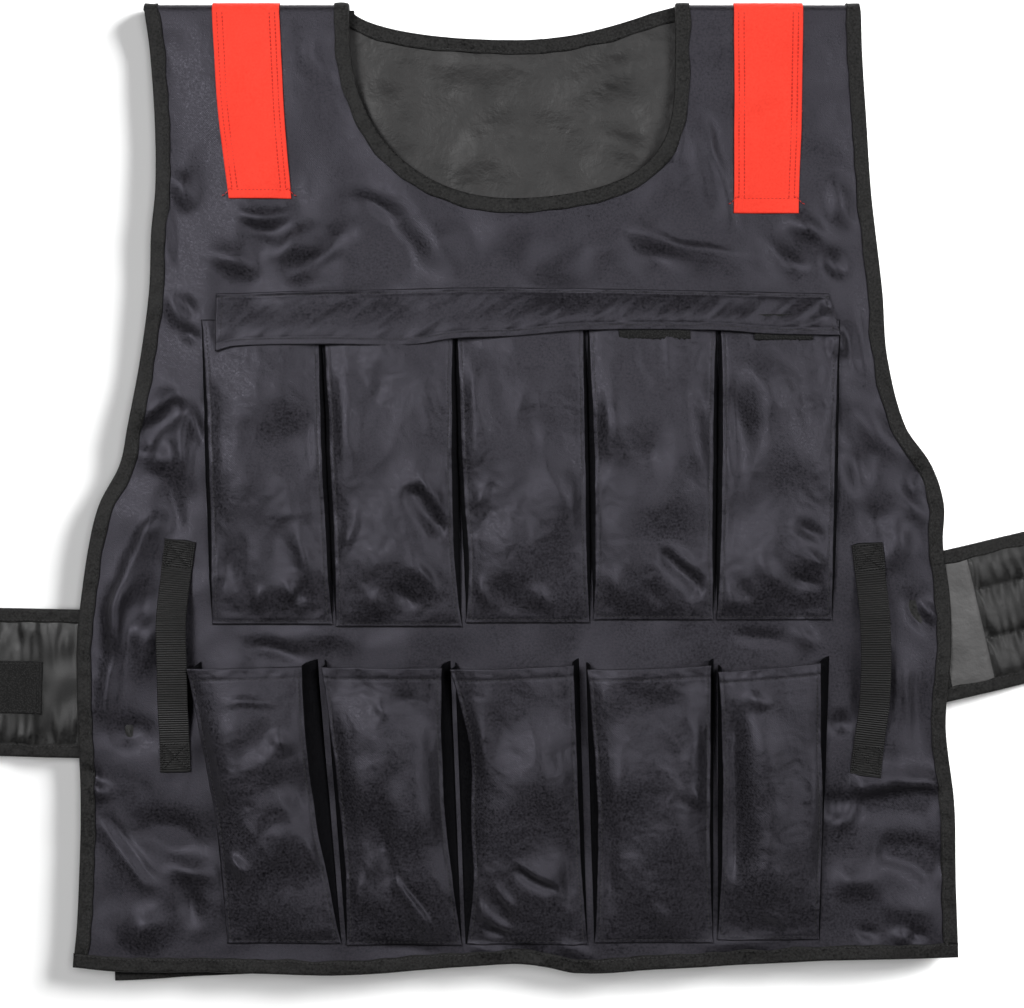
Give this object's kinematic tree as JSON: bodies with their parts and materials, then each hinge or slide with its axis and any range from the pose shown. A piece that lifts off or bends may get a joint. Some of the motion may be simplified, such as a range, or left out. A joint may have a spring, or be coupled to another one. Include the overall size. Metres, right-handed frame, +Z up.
{
  "type": "weighted vest",
  "caption": "Weighted vest lying flat: two cloth panels joined at the shoulders, bound edges, weight pockets in two rows with a flap, webbing handles and side belts.",
  "frame": {"origin": "on the floor under the middle of the vest, belts included, as it lies on its back", "axes": "+Z up from the floor to the front of the vest, +Y towards the shoulders, +X to the right seen from above"},
  "size_m": [0.9514, 0.6539, 0.0297],
  "materials": {
    "cloth": "dark satin twill",
    "lining": "grey coated lining",
    "binding_tape": "dark grey folded tape",
    "red_cloth": "bright red plain cloth",
    "webbing": "near-black ribbed webbing",
    "belt_cloth": "dark padded cloth",
    "fastener_pile": "hook-and-loop pile"
  },
  "bodies": {
    "root": {"back_panel": "lining", "front_panel": "cloth", "neck_binding_front": "binding_tape", "neck_binding_back": "binding_tape", "side_binding_front_left": "binding_tape", "side_binding_back_left": "binding_tape", "side_binding_front_right": "binding_tape", "side_binding_back_right": "binding_tape", "hem_binding_front": "binding_tape", "hem_binding_back": "binding_tape", "shoulder_strip_left": "red_cloth", "shoulder_strip_right": "red_cloth", "upper_pocket_1": "cloth", "upper_pocket_2": "cloth", "upper_pocket_3": "cloth", "upper_pocket_4": "cloth", "upper_pocket_5": "cloth", "lower_pocket_1": "cloth", "lower_pocket_2": "cloth", "lower_pocket_3": "cloth", "lower_pocket_4": "cloth", "lower_pocket_5": "cloth", "pocket_flap": "cloth", "flap_fastener_left": "fastener_pile", "flap_fastener_right": "fastener_pile", "handle_left": "webbing", "handle_right": "webbing", "belt_left": "belt_cloth", "belt_binding_left": "binding_tape", "belt_right": "belt_cloth", "belt_binding_right": "binding_tape", "belt_patch_left": "fastener_pile"}
  },
  "joints": []
}
